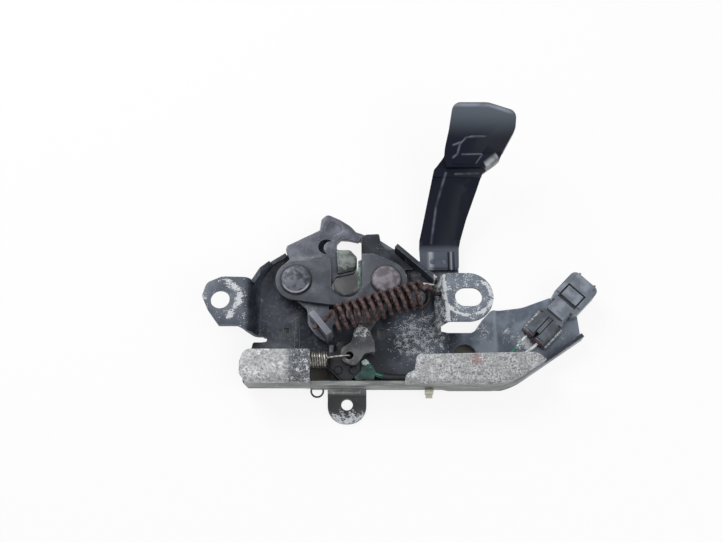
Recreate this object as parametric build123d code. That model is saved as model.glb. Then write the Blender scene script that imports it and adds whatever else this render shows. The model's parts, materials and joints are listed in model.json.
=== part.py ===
from build123d import *
import os
from math import atan, cos, radians, sin

# Bonnet latch with its release handle, lying on its back, in millimetres.
# X runs along the latch to the right, Y towards the way the striker leaves, Z up from the panel side.
# The origin is on the centre line of the striker slot, level with the two big pivots,
# on the rear face of the pan floor. The latch rests on the plane REST_Z.

# Sheet and levels
SHEET = 2.0
REST_Z = -5.0
EAR_Z = 13.0
LIP_LEFT_Z = 16.5
LIP_RIGHT_Z = 13.0
MID_WALL_Z = 10.0
FORK_Z = 4.4
FORK_T = 3.0
BEARING_Z = 7.8
BEARING_TOP = BEARING_Z + SHEET
BEND = 2.6

# Pivots and holes
PIVOT_A = (-24.5, 0.0)
PIVOT_B = (19.5, 0.0)
PIVOT_C = (35.0, -7.0)
SHOULDER_R = 5.0
SHANK_R = 4.0
CATCH_SHOULDER_R = 4.0
RUNNING = 0.06
LEFT_HOLE = (-60.4, -11.6)
LEFT_HOLE_R = 4.6
RIGHT_SLOT = (58.9, -10.3)
RIGHT_SLOT_R = 4.8
RIGHT_SLOT_LENGTH = 13.0
TAB_HOLE = (0.5, -59.0)
TAB_HOLE_R = 2.8
LEVER_HOLE = (1.7, -38.2)
LEVER_HOLE_R = 2.0

# Striker slot
SLOT_HALF = 7.4
SLOT_BOTTOM_Y = -8.7
LINER_WALL = 1.6

# Middle line of the bottom flange in plan: straight, one long bend, then the arm's slanted edge
FLANGE_Y = -51.5
FLANGE_CORNER = (77.0, -51.5)
FLANGE_END = (115.0, -25.8)
FLANGE_RADIUS = 29.0

# Springs: wire and coil sizes, and the two ends of each coil's axis
MAIN_WIRE_R = 1.1
MAIN_COIL_R = 5.9
MAIN_START = (-5.6, -22.2, 17.6)
MAIN_END = (36.8, -9.2, 16.6)
MAIN_TURNS = 12
TAB_CENTRE = (-12.0, -24.9)
TAB_ANGLE = -51.6
TAB_TOP = 20.5
TAB_EYE_Z = 17.6
WALL_EYE = (46.6, -7.4, 9.8)
PAWL_WIRE_R = 0.5
PAWL_COIL_R = 3.6
PAWL_START = (-16.8, -40.2, 9.6)
PAWL_END = (-8.9, -40.2, 9.6)
PAWL_TURNS = 7
LUG_X = -19.5
HANDLE_WIRE_R = 0.6
HANDLE_COIL_R = 5.9
HANDLE_TURNS = 3
CATCH_EYE = (30.6, 6.4)
SPRING_EYE_R = 1.5

# Leads: the wires and their sleeve share one route along the flange
LEAD_R = 0.7
SLEEVE_R = 2.0
SLEEVE_BORE = 1.6
LEAD_OFFSET = 0.8
LEAD_ROUTE = (
    (14.4, -46.2, 4.3), (20.4, -47.8, 4.4), (31.0, -48.2, 4.5), (46.0, -47.6, 4.5), (61.0, -45.4, 4.3),
    (73.0, -40.6, 3.9),
)

# Plug: its own frame runs along the plug's axis from the rear end
PLUG_ORIGIN = (90.5, -27.9, 3.2)
PLUG_ANGLE = 46.0
RETAINER_END = 14.2
HEAD_START = 24.0
LATCH_START = 25.0
LATCH_END = 31.1
PLUG_LENGTH = 39.4
HEAD_HALF = 7.8
BARREL_V = 3.15
BARREL_R = 3.2
SEAL_R = 2.6
SEAL_END = 9.0
TERMINAL_R = 1.2
CLIP_U = 12.0
CLIP_STUD_R = 2.0

# Small rivets
SWITCH_RIVETS = ((3.4, -44.4), (-3.6, -44.4))
HANDLE_RIVETS = ((43.0, 12.4), (48.8, 12.4))
HANDLE_RIVET_R = 1.4

# Lever: sheet, bend line of the foot and slope of the shaft, both ends of the paddle's slope as (y, z)
HANDLE_T = 2.0
SHAFT_START = (18.5, 0.4)
SHAFT_SLOPE = 0.56
PADDLE_START = (60.5, 27.0)
PADDLE_END = (80.8, 38.4)
PANEL_RISE = 0.7
FOOT_BEADS = ((41.0, 50.6), (53.2, 55.6))

# Shaft sections: y, drop of the flanges, then x of the left edge, both folds and the right edge
SHAFT_SECTIONS = (
    (19.6, 0.6, 36.4, 41.4, 51.2, 56.3),
    (24.0, 3.0, 36.6, 41.8, 51.8, 57.2),
    (34.0, 3.6, 38.9, 43.8, 53.2, 60.2),
    (46.4, 3.2, 41.6, 46.2, 57.4, 65.0),
    (51.6, 0.5, 42.8, 48.2, 61.0, 67.0),
)


def prism(face, z0, z1):
    """A face in plan, raised from z0 to z1."""
    return extrude(Pos(0, 0, z0) * face, amount=z1 - z0)


def outline(*corners):
    """A closed face in plan from corners of (x, y, rounding radius)."""
    points = [(x, y) for x, y, r in corners]
    radii = [r for x, y, r in corners]
    return make_face(FilletPolyline(*points, radius=radii, close=True).edges())


def disc(centre, radius):
    return Pos(centre[0], centre[1]) * Circle(radius)


def strip(points, radius, width=SHEET):
    """The section of a bent sheet whose middle line runs through the points."""
    line = FilletPolyline(*points, radius=radius) if len(points) > 2 else Polyline(*points)
    return trace(line, width)


def along_y(face, y0, y1):
    """A section drawn as (x, z), pulled from y0 to y1."""
    return extrude(Pos(0, y1, 0) * (Plane.XZ * face), amount=y1 - y0)


def along_x(face, x0, x1):
    """A section drawn as (y, z), pulled from x0 to x1."""
    return extrude(Pos(x0, 0, 0) * (Plane.YZ * face), amount=x1 - x0)


def cylinder(centre, radius, z0, z1):
    return prism(disc(centre, radius), z0, z1)


def ring(centre, outer, inner, z0, z1):
    return cylinder(centre, outer, z0, z1) - cylinder(centre, inner, z0, z1)


def turned(centre, steps):
    """A turned piece on a vertical axis from its (radius, z) steps, bottom to top."""
    corners = [(0, steps[0][1])] + list(steps) + [(0, steps[-1][1])]
    profile = Plane.XZ * make_face(Polyline(*corners, close=True).edges())
    return Pos(centre[0], centre[1], 0) * revolve(profile, Axis.Z, 360)


def slot_face(half, bottom_y, top_y):
    """The striker slot in plan: straight sides with a round bottom."""
    centre_y = bottom_y + half
    sides = Pos(0, (centre_y + top_y) / 2) * Rectangle(2 * half, top_y - centre_y)
    return sides + Pos(0, centre_y) * Circle(half)


def wire(points, radii, wire_radius):
    """A round wire along straight runs joined by tangent arcs."""
    path = FilletPolyline(*points, radius=radii)
    start = Plane(origin=path @ 0, z_dir=path % 0)
    return sweep(start * Circle(wire_radius), path=path.wire())


def coil(start, end, radius, wire_radius, turns, top):
    """A helical spring body that starts and ends at the side of its axis that top points to."""
    axis = Vector(*end) - Vector(*start)
    helix = Helix(pitch=axis.length / turns, height=axis.length, radius=radius)
    section = Plane(origin=helix @ 0, z_dir=helix % 0) * RegularPolygon(wire_radius, 6)
    body = sweep(section, path=helix, is_frenet=True)
    return Plane(origin=start, x_dir=Vector(*top), z_dir=axis) * body


def base_plate():
    """One pressing: pan floor, raised ears, rims, folded flange with lips, joggled arm and tab."""
    ear_mid = EAR_Z + SHEET / 2
    arm_mid = -1.5
    arm_low = REST_Z + SHEET / 2
    pan_line = [(-75, ear_mid), (-48, ear_mid), (-43.5, 1), (43, 1), (48.5, ear_mid), (76, ear_mid)]
    pan_plan = outline(
        (-69.2, -10.0, 3), (-67.2, -3.2, 4), (-60, 0, 6), (-47.5, -0.3, 2), (-44.0, -0.6, 2),
        (-41.0, 4.6, 2), (-36.6, 11.3, 2), (-29.4, 16.2, 2), (-15, 23.2, 3), (-8.8, 26.0, 2),
        (7.9, 25.9, 0.8), (9.9, 27.0, 1), (16.3, 27.3, 0.8), (17.3, 21.7, 2.5), (20.2, 18.6, 1.4),
        (24.4, 19.2, 0.6), (43.0, 1.7, 2), (70.8, 1.7, 12), (70.8, -22.4, 12), (45.6, -22.4, 1),
        (45.6, -27, 0), (-46.8, -27, 1), (-51.5, -24.6, 2), (-60.5, -24.6, 1), (-66.0, -17, 4),
    )
    pan = along_y(strip(pan_line, 3), -30, 40) & prism(pan_plan, -10, 30)
    floor_line = [(-52, 1), (46, 1), (49.5, arm_mid), (71.5, arm_mid), (75, arm_low), (120, arm_low)]
    floor_plan = outline(
        (-38.5, -25, 0), (-38.5, -29.2, 1), (-45.2, -29.2, 1.5), (-46.2, -34, 2), (-46.2, FLANGE_Y, 0),
        (*FLANGE_CORNER, FLANGE_RADIUS), (*FLANGE_END, 0), (113.9, -13.2, 1.5), (101.2, -5.0, 1.5),
        (87.0, -10.3, 20), (71.6, -12.2, 4), (66.2, -18.0, 3), (62.3, -23.9, 4), (45.6, -23.9, 0),
    )
    floor = along_y(strip(floor_line, 3), -60, 5) & prism(floor_plan, -10, 30)
    plate = pan + floor + flange() + rims()
    plate -= prism(slot_face(SLOT_HALF, SLOT_BOTTOM_Y, 60), -1, 4)
    for centre in (PIVOT_A, PIVOT_B):
        plate -= cylinder(centre, SHANK_R, -1, 4)
    plate -= cylinder(PIVOT_C, CATCH_SHOULDER_R, -1, 4)
    plate -= cylinder(LEFT_HOLE, LEFT_HOLE_R, 5, 30)
    right_slot = Pos(*RIGHT_SLOT) * SlotOverall(RIGHT_SLOT_LENGTH, 2 * RIGHT_SLOT_R)
    plate -= prism(right_slot, 5, 30)
    plate -= cylinder(TAB_HOLE, TAB_HOLE_R, -10, 5)
    notch = outline((-60, -26.4, 0), (-39.6, -26.4, 1.3), (-39.6, -29.4, 1.3), (-60, -29.4, 0))
    plate -= prism(notch, -1, 12)
    plate -= cylinder((57.6, -35.4), 5.8, -8, 4)
    plate -= prism(outline((15.4, -22.6, 1), (18.4, -22.6, 1), (18.4, -28, 1), (15.4, -28, 1)), -1, 4)
    plate -= prism(Pos(-29, -23.6) * Rectangle(2.6, 2.8), -1, 4)
    plate -= prism(outline((-16.8, -42.2, 1), (-7.0, -42.2, 1), (-7.0, -48, 1), (-16.8, -48, 1)), -1, 4)
    plate -= prism(outline((28.8, 4.4, 1), (38.6, 5.2, 1), (38.6, 8.8, 1), (28.8, 8.0, 1)), -1, 4)
    for x, y in SWITCH_RIVETS:
        plate -= cylinder((x, y), 1.1, -1, 4)
    plate -= Pos(*WALL_EYE) * Rot(0, 90, 0) * Cylinder(SPRING_EYE_R, 10)
    plate -= cylinder(clip_centre(), CLIP_STUD_R + 0.1, -6, -1)
    rib = outline((-25, -17, 1), (-22.5, -17, 1), (-22.5, -33, 1), (-25, -33, 1))
    plate += prism(rib, 1.5, 2.9)
    plate += spring_lug()
    return plate


def spring_lug():
    """A lug bent up from the floor behind the left lip, with the eye of the pawl's spring."""
    lug = along_x(Pos(-40.2, 7.2) * Rectangle(7.0, 11.0), LUG_X - SHEET / 2, LUG_X + SHEET / 2)
    return lug - Pos(LUG_X, PAWL_START[1], PAWL_START[2]) * Rot(0, 90, 0) * Cylinder(1.1, 5)


def clip_centre():
    place = plug_place(Pos(CLIP_U, 0, 0)).position
    return (place.X, place.Y)


def flange():
    """The folded bottom flange: low middle wall, two return lips, and the joggled tab."""
    left_mid = LIP_LEFT_Z + SHEET / 2
    right_mid = LIP_RIGHT_Z + SHEET / 2
    left_line = strip([(-47, 1), (FLANGE_Y, 1), (FLANGE_Y, left_mid), (-30, left_mid)], BEND)
    left_c = along_x(left_line, -60, -16.7)
    left_plan = outline(
        (-16.7, -37.2, 1), (-47.6, -37.2, 4), (-49.6, -43, 3), (-49.6, -49, 2), (-46.2, -52.6, 1),
        (-46.2, -56, 0), (-16.7, -56, 0),
    )
    left = left_c & prism(left_plan, -10, 30)
    wall_path = FilletPolyline((-17, FLANGE_Y), FLANGE_CORNER, FLANGE_END, radius=FLANGE_RADIUS)
    middle = prism(trace(wall_path, SHEET), REST_Z, MID_WALL_Z)
    lip_path = FilletPolyline((27.7, FLANGE_Y), FLANGE_CORNER, FLANGE_END, radius=FLANGE_RADIUS)
    lip_line = strip([(0, -4), (0, right_mid), (14.0, right_mid)], BEND)
    start = Plane(origin=(27.7, FLANGE_Y, 0), x_dir=(0, 1, 0), z_dir=(1, 0, 0))
    right = sweep((start * lip_line).face(), path=lip_path.wire())
    right_plan = outline(
        (33.6, -38.8, 2), (89.5, -37.7, 2), (97.5, -42, 1), (125, -20, 0), (125, -60, 0), (27.0, -60, 0),
        (28.0, -50, 1), (29.0, -48, 1), (32.4, -46.5, 2),
    )
    right &= prism(right_plan, -10, 30)
    taper = make_face(Polyline((93, 40), (93, 13.5), (125, 0), (125, 40), close=True).edges())
    right -= along_y(taper, -60, 0)
    middle -= prism(Pos(96, -30) * Rectangle(60, 60), 3, 30)
    below = make_face(
        Polyline(
            (-60, 0), (45.7, 0), (49.2, -2.5), (71.2, -2.5), (74.7, REST_Z), (125, REST_Z), (125, 40),
            (-60, 40), close=True,
        ).edges()
    )
    walls = (left + middle + right) & along_y(below, -70, 10)
    tab_line = [(-47, 1), (-51.5, 1), (-55.5, REST_Z + 1), (-75, REST_Z + 1)]
    tab_plan = outline((-8.8, -45, 0), (9.8, -45, 0), (9.8, -68.2, 8.6), (-8.8, -68.2, 8.6))
    tab = along_x(strip(tab_line, 2), -20, 20) & prism(tab_plan, -10, 10)
    return walls + tab


def rims():
    """Upstanding rims of the pan at its two upper corners."""
    left_line = strip([(-45.4, -1.9), (-41.9, 4.0), (-37.4, 10.4)], 0)
    low_line = strip([(-38.6, 8.7), (-37.0, 10.9), (-30.0, 15.4)], 2)
    right_line = strip([(24.6, 17.6), (43.6, 0.3)], 0)
    rim = prism(left_line, 1, 12.5)
    slope = make_face(Polyline((-45, 14), (-42, 12.5), (-36, 4), (-30, 4), (-30, 14), close=True).edges())
    rim -= along_y(slope, -10, 30)
    rim += prism(low_line, 1, 4.0)
    rim += prism(right_line, 1, 11.5)
    return rim


def bearing_plate():
    """The front strap over the fork and pawl, with the U slot between its two round ends."""
    ends = disc(PIVOT_A, 10.2) + disc(PIVOT_B, 10.2)
    body = outline(
        (-26.5, 10.0, 0), (-16, 10.6, 4), (-8.4, 11.2, 1), (7.0, 13.8, 1), (13.5, 13.9, 4), (24.0, 9.1, 1),
        (25, -8.6, 1), (18.5, -10.2, 8), (8, -13.4, 10), (-8, -12.6, 20), (-27, -9.9, 1), (-30, 0, 0),
    )
    face = ends + body - slot_face(SLOT_HALF, SLOT_BOTTOM_Y, 40)
    for centre in (PIVOT_A, PIVOT_B):
        face -= disc(centre, SHANK_R)
    return prism(face, BEARING_Z, BEARING_TOP)


def big_rivet(centre, head_r, dome):
    """A stepped pivot rivet: tail and rear flange, shoulder for the moving piece, round front head."""
    return turned(centre, [
        (3.4, REST_Z), (4.2, REST_Z + 0.8), (4.2, -2.0), (5.8, -2.0), (5.8, 0), (SHANK_R, 0), (SHANK_R, 2.0),
        (SHOULDER_R, 2.0), (SHOULDER_R, BEARING_Z), (SHANK_R, BEARING_Z), (SHANK_R, BEARING_TOP),
        (head_r, BEARING_TOP), (head_r, BEARING_TOP + 1.1), (head_r - 0.9, BEARING_TOP + dome),
    ])


def handle_pivot_rivet():
    return turned(PIVOT_C, [
        (5.2, REST_Z), (6.0, REST_Z + 0.6), (6.0, -3.3), (CATCH_SHOULDER_R, -3.3), (CATCH_SHOULDER_R, 2.0),
        (4.6, 2.0), (4.6, 3.6), (3.9, 4.2),
    ])


def spacer(centre):
    return ring(centre, 7.2, SHOULDER_R + RUNNING, 2.05, FORK_Z - 0.1)


# The tooth face of the fork starts at TOOTH_ROOT and runs along TOOTH_RUN to its free edge.
TOOTH_ROOT = Vector(-8.5, -14.6)
TOOTH_RUN = Vector(0.84, -0.5426)
TOOTH_OUT = Vector(0.5426, 0.84)
TOOTH_LENGTH = 7.8
TOOTH_GRIP = 1.45
NOSE_GAP = 1.6
NOSE_WIDTH = 6.2


def tooth_point(along, out=0.0):
    point = TOOTH_ROOT + TOOTH_RUN * along + TOOTH_OUT * out
    return (point.X, point.Y)


def fork_bolt():
    """The claw: hook over the striker mouth, lower jaw, catch tooth, and the bent-up spring arm."""
    plan = outline(
        (-30.1, 16.6, 1.5), (-29.4, 18.9, 1.2), (-13.4, 27.1, 1.2), (-12.6, 33.0, 2.2), (-9.6, 35.7, 2.4),
        (-3.2, 32.7, 10), (1.9, 29.3, 10), (7.2, 23.4, 0.7), (6.0, 21.0, 0.8), (-2.4, 22.9, 3),
        (-4.8, 20.0, 2), (-4.7, 16.6, 0.8), (2.0, 16.4, 1.5), (5.2, 12.6, 2.0), (5.2, 8.0, 2.0), (3.8, 4.6, 1.5),
        (-5.2, 2.6, 2), (-8.6, -4, 4), (*tooth_point(0), 1.5), (*tooth_point(TOOTH_LENGTH), 0.4),
        (-6.8, -22.4, 2), (-6.2, -28.2, 1.2), (-9.8, -30.6, 2), (-14.8, -27.0, 3), (-18.4, -22.0, 4),
        (-18.8, -14.4, 3), (-25.5, -8.6, 3), (-33.5, -5, 5), (-33.5, 6, 5), (-27.9, 11.8, 1),
    )
    claw = prism(plan, FORK_Z, FORK_Z + FORK_T)
    claw -= cylinder(PIVOT_A, SHOULDER_R + RUNNING, 0, 12)
    claw -= prism(disc((-10.2, 18.4), 3.9) - disc((-7.7, 17.6), 3.6), 0, 12)
    pocket = outline((-10.9, 26.6, 1), (-9.9, 30.6, 1), (-7.6, 32.0, 1), (-2.2, 29.2, 1), (-1.6, 26.6, 1),
                     (-6.6, 24.2, 1))
    claw -= prism(pocket, FORK_Z + FORK_T - 0.5, 12)
    tab = prism(Pos(*TAB_CENTRE) * Rot(0, 0, TAB_ANGLE) * Rectangle(13.6, 3.0), FORK_Z, TAB_TOP)
    tab -= Pos(*TAB_CENTRE, TAB_EYE_Z) * Rot(0, 0, TAB_ANGLE) * Rot(90, 0, 0) * Cylinder(SPRING_EYE_R, 10)
    return claw + tab


def fork_jaw_pad():
    """The moulded pad that caps the lower jaw inside the slot."""
    plan = outline(
        (-5.0, 15.8, 0.8), (1.2, 16.2, 1.6), (4.9, 12.8, 1.6), (4.9, 8.0, 1.4), (3.5, 5.2, 0.8), (0.4, 4.6, 0.8),
        (-2.6, 3.6, 0.8), (-4.3, 3.6, 0.6),
    )
    return prism(plan, FORK_Z + FORK_T, BEARING_Z + 1.0)


def slot_liner():
    """A U trim of plastic pressed into the slot of the bearing plate."""
    outer = slot_face(SLOT_HALF, SLOT_BOTTOM_Y, 12.5)
    inner = slot_face(SLOT_HALF - LINER_WALL, SLOT_BOTTOM_Y + LINER_WALL, 20)
    lip = slot_face(SLOT_HALF - 0.5, SLOT_BOTTOM_Y + 0.5, 11.5)
    right_side = outline((-6, -20, 0), (20, -20, 0), (20, 20, 0), (-6, 0.5, 0))
    wall = prism((outer - inner) & right_side, BEARING_Z, BEARING_TOP)
    rim = prism((lip - inner) & right_side, BEARING_TOP, BEARING_TOP + 0.8)
    return wall + rim


def pawl():
    """Catch nose and release lever in one pressing, joggled up where it leaves the fork's level."""
    plan = disc(PIVOT_B, 8.4) + outline(
        (*tooth_point(TOOTH_LENGTH - TOOTH_GRIP, NOSE_GAP), 0.5), (8.4, -9.8, 3), (12, -2, 1), (27, -2, 1),
        (24.2, -9, 4), (14.6, -20, 4), (11.2, -26.0, 3), (13.0, -30.4, 3), (13.9, -36.2, 1.5),
        (8.8, -37.2, 2), (4.6, -43.4, 3), (-1.8, -41.2, 3.5), (-2.6, -35.2, 3), (2.8, -31.6, 3),
        (4.0, -25.6, 2), (7.2, -22.4, 2), (*tooth_point(TOOTH_LENGTH + NOSE_WIDTH - TOOTH_GRIP, NOSE_GAP), 1.2),
    )
    low = FORK_Z + FORK_T / 2
    line = [(30, low), (-22.0, low), (-25.4, low + 3.2), (-60, low + 3.2)]
    lever = along_x(strip(line, 2, FORK_T), -20, 40) & prism(plan, 0, 30)
    lever -= cylinder(PIVOT_B, SHOULDER_R + RUNNING, 0, 30)
    lever -= cylinder(LEVER_HOLE, LEVER_HOLE_R, 0, 30)
    side = outline((11.6, -29.4, 0.8), (13.4, -30.4, 0.8), (14.0, -36.4, 0.8), (12.0, -36.8, 0.8))
    lever += prism(side, 4.6, low + 4.2)
    return lever


def main_spring():
    """Extension spring from the fork's arm to the right wall, with a hook at each end."""
    body = coil(MAIN_START, MAIN_END, MAIN_COIL_R, MAIN_WIRE_R, MAIN_TURNS, (0, 0, 1))
    along = (Vector(*MAIN_END) - Vector(*MAIN_START)).normalized()
    up = (Vector(0, 0, 1) - along * along.Z).normalized()
    side = along.cross(up)
    start = Vector(*MAIN_START) + up * MAIN_COIL_R
    eye = Vector(*TAB_CENTRE, TAB_EYE_Z)
    out = Vector(sin(radians(-TAB_ANGLE)), cos(radians(TAB_ANGLE)), 0)
    left = [start + side * 0.3, start - side * 4.5, eye + out * 3.6, eye - out * 3.4]
    left.append(eye - out * 3.4 + Vector(0, 0, 4))
    end = Vector(*MAIN_END) + up * MAIN_COIL_R
    wall = Vector(*WALL_EYE)
    right = [end - side * 0.3, end + side * 4.5, wall - Vector(4.5, 0, 0), wall + Vector(4.5, 0, 0)]
    right.append(wall + Vector(4.5, 0, -4))
    for points in (left, right):
        body += wire([tuple(point) for point in points], [2, 2, 1.5], MAIN_WIRE_R)
    return body


def pawl_spring():
    """Small extension spring from the lug on the floor to the hole in the pawl's lever."""
    body = coil(PAWL_START, PAWL_END, PAWL_COIL_R, PAWL_WIRE_R, PAWL_TURNS, (0, 0, 1))
    x0, y0, z0 = PAWL_START
    x1, y1, z1 = PAWL_END
    top = z0 + PAWL_COIL_R
    over = FORK_Z + FORK_T + 4.0
    left = [(x0, y0 + 0.2, top), (x0 - 0.4, y0 - 1.8, top), (x0 - 1.2, y0, z0), (LUG_X - 2.1, y0, z0),
            (LUG_X - 2.1, y0, z0 - 2.8)]
    right = [(x1, y1 - 0.2, top), (x1 + 0.4, y1 + 1.9, top), (x1 + 3.2, y1 + 0.8, over), (*LEVER_HOLE, over),
             (*LEVER_HOLE, 7.0)]
    for points in (left, right):
        body += wire(points, [1, 1, 1], PAWL_WIRE_R)
    return body


def safety_catch():
    """Flat hook plate behind the base plate: its beak crosses the slot above the striker."""
    plan = disc(PIVOT_C, 9.0) + outline(
        (44, -8, 3), (41, -15, 5), (30, -14, 4), (27.0, -3, 5), (26.6, 8, 6), (13, 15.4, 6), (7.5, 24.6, 3),
        (-3.6, 25.4, 1), (-4.6, 23.4, 0.8), (-8.2, 24.0, 1.5), (-7.4, 30.0, 2.5), (4, 29.6, 4),
        (16.5, 25.0, 6), (30.5, 15.5, 6), (37, 13.0, 1), (37, 16.5, 1), (56, 16.5, 1), (56, 5, 4),
    )
    plate = prism(plan, -3.1, -0.6)
    plate -= cylinder(PIVOT_C, CATCH_SHOULDER_R + RUNNING, -10, 5)
    plate -= cylinder(CATCH_EYE, 1.0, -10, 5)
    for centre in HANDLE_RIVETS:
        plate -= cylinder(centre, HANDLE_RIVET_R, -10, 5)
    return plate


def shaft_section(y, drop, out_left, fold_left, fold_right, out_right):
    """Hat section of the lever's shaft at y: a flat web between two flanges that slope back by drop."""
    middle = SHAFT_START[1] + (y - SHAFT_START[0]) * SHAFT_SLOPE
    upper = [(out_left, -drop), (fold_left, 0), (fold_right, 0), (out_right, -drop)]
    half = HANDLE_T / 2 / cos(atan(SHAFT_SLOPE))
    corners = [(x, middle + z + half) for x, z in upper]
    corners += [(x, middle + z - half) for x, z in reversed(upper)]
    return Pos(0, y, 0) * (Plane.XZ * make_face(Polyline(*corners, close=True).edges()))


def paddle():
    """The wide end of the lever: a plate folded back at its rim, with a panel pressed up from the neck."""
    rise = (PADDLE_END[1] - PADDLE_START[1]) / (PADDLE_END[0] - PADDLE_START[0])
    low, high = 54.0, 84.0

    def level(y, offset):
        return (y, PADDLE_START[1] + (y - PADDLE_START[0]) * rise + offset)

    def layer(bottom, top):
        corners = [level(low, bottom), level(high, bottom), level(high, top), level(low, top)]
        return along_x(make_face(Polyline(*corners, close=True).edges()), 30, 100)

    plan = outline(
        (48.2, 57.0, 0), (48.6, 63.2, 6), (50.3, 70.3, 20), (52.2, 82.0, 4.2), (69.3, 82.0, 12),
        (83.4, 78.2, 4), (83.0, 70.6, 6), (78.0, 62.3, 10), (75.4, 57.6, 2), (67.4, 52.4, 0), (50.0, 52.0, 0),
    )
    plate = prism(plan, -10, 60) & layer(-HANDLE_T / 2, HANDLE_T / 2)
    face = plate.faces().filter_by(lambda f: f.normal_at().Z > 0.5).sort_by(SortBy.AREA)[-1]
    upper_rim = [edge for edge in face.edges() if edge.center().Y > 62]
    plate = fillet(upper_rim, 1.0)
    rim = plan - offset(plan, -1.6)
    plate += prism(rim, -10, 60) & layer(-3.4, -HANDLE_T / 2 + 0.15) & Pos(65, 76, 40) * Box(60, 30, 60)
    panel = outline(
        (52.6, 55.0, 0), (55.0, 59.6, 1.5), (56.0, 64.4, 2.2), (61.4, 67.4, 5), (68.9, 66.8, 2.2),
        (70.2, 63.2, 3), (66.4, 59.2, 2), (62.0, 55.0, 0),
    )
    plate += prism(panel, -10, 60) & layer(0, HANDLE_T / 2 + PANEL_RISE)
    return plate - (prism(offset(panel, -1.2), -10, 60) & layer(-5, -HANDLE_T / 2 + PANEL_RISE))


def release_handle():
    """The hand lever: riveted foot, rising hat section shaft, joggled neck and the paddle."""
    foot_line = [(6, SHAFT_START[1]), SHAFT_START, (24, SHAFT_START[1] + 5.5 * SHAFT_SLOPE)]
    foot_plan = outline((37.0, 8.4, 1.5), (36.4, 20.6, 0), (56.3, 20.6, 0), (56.0, 8.4, 1.5))
    lever = along_x(strip(foot_line, 7, HANDLE_T), 20, 100) & prism(foot_plan, -10, 60)
    shaft = loft([shaft_section(*numbers) for numbers in SHAFT_SECTIONS], ruled=True)
    neck_line = [(50.6, 18.9), (55.5, 20.6), PADDLE_START, (64.0, 29.2)]
    neck_plan = outline(
        (42.6, 50.6, 0), (43.4, 54.0, 2), (48.2, 58.6, 2), (48.4, 62.0, 0), (77.6, 62.0, 0), (75.4, 57.6, 1),
        (67.4, 52.4, 1), (66.9, 50.6, 0),
    )
    neck = along_x(strip(neck_line, [2.5, 3], HANDLE_T), 20, 100) & prism(neck_plan, -10, 60)
    lever = lever + shaft + neck + paddle()
    for x0, x1 in FOOT_BEADS:
        bead = Pos((x0 + x1) / 2, 13.4) * RectangleRounded(x1 - x0, 8.4, 0.8)
        lever += prism(bead, SHAFT_START[1], SHAFT_START[1] + HANDLE_T / 2 + 0.5)
    for centre in HANDLE_RIVETS:
        lever -= cylinder(centre, HANDLE_RIVET_R, -10, 5)
    return lever


def handle_rivets():
    """Rivets with a rear head, peened flush with the foot of the lever."""
    top = SHAFT_START[1] + HANDLE_T / 2 + 0.5
    steps = [(2.1, -4.2), (2.5, -3.8), (2.5, -3.1), (HANDLE_RIVET_R, -3.1), (HANDLE_RIVET_R, top - 0.1),
             (HANDLE_RIVET_R - 0.4, top + 0.1)]
    return [turned(centre, steps) for centre in HANDLE_RIVETS]


def handle_spring():
    """Torsion spring on the front of the base plate: one leg on the right wall, one on the catch."""
    x, y = PIVOT_C
    body = coil((x, y, 2.9), (x, y, 7.2), HANDLE_COIL_R, HANDLE_WIRE_R, HANDLE_TURNS, (0, 1, 0))
    upper = [(x - 0.3, y + HANDLE_COIL_R, 7.2), (x + 3.4, y + HANDLE_COIL_R, 7.2), (x + 8.1, y + 5.2, 7.2)]
    lower = [(x + 0.3, y + HANDLE_COIL_R, 2.9), (x - 2.4, y + HANDLE_COIL_R, 2.9), (*CATCH_EYE, 2.9),
             (*CATCH_EYE, -2.6)]
    body += wire(upper, [2], HANDLE_WIRE_R)
    body += wire(lower, [2, 1], HANDLE_WIRE_R)
    return body


def switch_housing():
    """Ajar switch body, a flat moulded wedge riveted to the pan floor, with a nose behind the lever."""
    plan = outline(
        (-8.4, -35.4, 1), (-4.4, -35.0, 0.5), (-4.6, -30.4, 1.5), (1.4, -30.0, 2), (3.0, -34.5, 1),
        (6.6, -36.4, 1.5), (7.0, -44, 2), (1.6, -49.8, 1.5), (-2.0, -49.8, 1.5), (-8.4, -43.4, 1.5),
    )
    body = prism(plan, 2.02, 5.4)
    body -= Pos(-7.0, -36.0, 3.8) * Rot(90, 0, 0) * Cylinder(1.35, 9.0)
    for centre in SWITCH_RIVETS:
        body -= cylinder(centre, 1.1, 0, 10)
    return body


def switch_cover():
    plan = outline((-7.6, -36.2, 1), (5.8, -37.2, 1.5), (6.2, -43.8, 2), (1.2, -49.0, 1.5), (-1.6, -49.0, 1.5),
                   (-7.6, -43.0, 1.5))
    cover = prism(plan, 5.4, 6.2)
    for centre in SWITCH_RIVETS:
        cover -= cylinder(centre, 1.1, 0, 10)
    return cover


def switch_plunger():
    """The button that the fork's arm covers while the latch is shut."""
    stem = Pos(-7.0, -35.1, 3.8) * Rot(90, 0, 0) * Cylinder(1.28, 7.0)
    return stem


def switch_rivets():
    steps = [(1.2, -0.8), (1.9, -0.8), (1.9, 0), (1.1, 0), (1.1, 6.2), (2.0, 6.2), (2.0, 6.7), (1.4, 7.1)]
    return [turned(centre, steps) for centre in SWITCH_RIVETS]


def switch_boot():
    """Sealing block where the two leads enter the switch."""
    plan = outline((7.1, -40.2, 1), (9.6, -38.6, 1), (13.0, -42.4, 1.5), (14.2, -45.0, 1), (13.4, -48.4, 1),
                   (5.0, -49.2, 0.5), (3.9, -48.0, 0.5), (7.1, -44.4, 0.5))
    boot = prism(plan, 2.02, 6.0)
    for side in (-1, 1):
        boot -= Pos(12.2, -45.6, LEAD_ROUTE[0][2] + side * LEAD_OFFSET) * Box(5.0, 8.0, 1.6)
    return boot


def plug_place(shape):
    return Pos(*PLUG_ORIGIN) * Rot(0, 0, PLUG_ANGLE) * shape


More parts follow.
